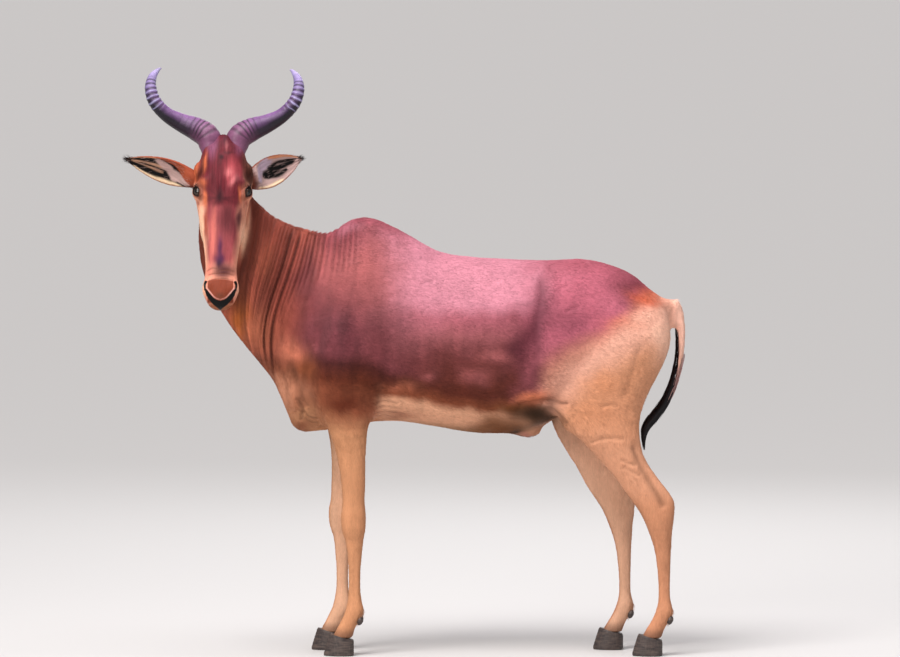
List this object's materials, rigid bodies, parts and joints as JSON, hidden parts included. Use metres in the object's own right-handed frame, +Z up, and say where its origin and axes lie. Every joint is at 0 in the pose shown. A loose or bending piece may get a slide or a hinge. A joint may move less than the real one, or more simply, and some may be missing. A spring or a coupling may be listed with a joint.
{
  "type": "hartebeest",
  "caption": "Life-size still model of a hartebeest bull, standing square with its head turned to its left, with ringed bracket-shaped horns, cupped ears, cloven hooves and a tufted tail.",
  "frame": {"origin": "middle of the animal's bounding box in X and Y, on the floor that the hooves stand on", "axes": "+X towards the tail, so the animal's trunk faces -X; +Y to the animal's right side; +Z up. The head is turned to the animal's left and faces -Y"},
  "size_m": [1.536, 0.574, 1.6252],
  "materials": {
    "saddle_coat": "short glossy dark red-brown coat of back, flank and shoulder",
    "neck_coat": "short red-brown coat over folded skin",
    "face_coat": "very short red-brown coat, darker on the forehead",
    "tan_coat": "short pale tan coat of rump, legs and tail",
    "horn": "dark ringed horn, smooth and paler at the tip",
    "hoof": "dark hoof horn, satin",
    "eye": "wet dark brown eye",
    "tuft_hair": "long black hair"
  },
  "bodies": {
    "root": {"trunk": "saddle_coat", "head": "face_coat", "neck": "neck_coat", "foreleg_left_upper": "tan_coat", "foreleg_left_lower": "tan_coat", "foreleg_left_outer_claw": "hoof", "foreleg_left_outer_dewclaw": "hoof", "foreleg_left_inner_claw": "hoof", "foreleg_left_inner_dewclaw": "hoof", "foreleg_right_upper": "tan_coat", "foreleg_right_lower": "tan_coat", "foreleg_right_outer_claw": "hoof", "foreleg_right_outer_dewclaw": "hoof", "foreleg_right_inner_claw": "hoof", "foreleg_right_inner_dewclaw": "hoof", "hindleg_left_upper": "tan_coat", "hindleg_left_lower": "tan_coat", "hindleg_left_outer_claw": "hoof", "hindleg_left_outer_dewclaw": "hoof", "hindleg_left_inner_claw": "hoof", "hindleg_left_inner_dewclaw": "hoof", "hindleg_right_upper": "tan_coat", "hindleg_right_lower": "tan_coat", "hindleg_right_outer_claw": "hoof", "hindleg_right_outer_dewclaw": "hoof", "hindleg_right_inner_claw": "hoof", "hindleg_right_inner_dewclaw": "hoof", "horn_left": "horn", "ear_left": "face_coat", "eye_left": "eye", "horn_right": "horn", "ear_right": "face_coat", "eye_right": "eye", "tail": "tan_coat", "tail_tuft": "tuft_hair"}
  },
  "joints": []
}
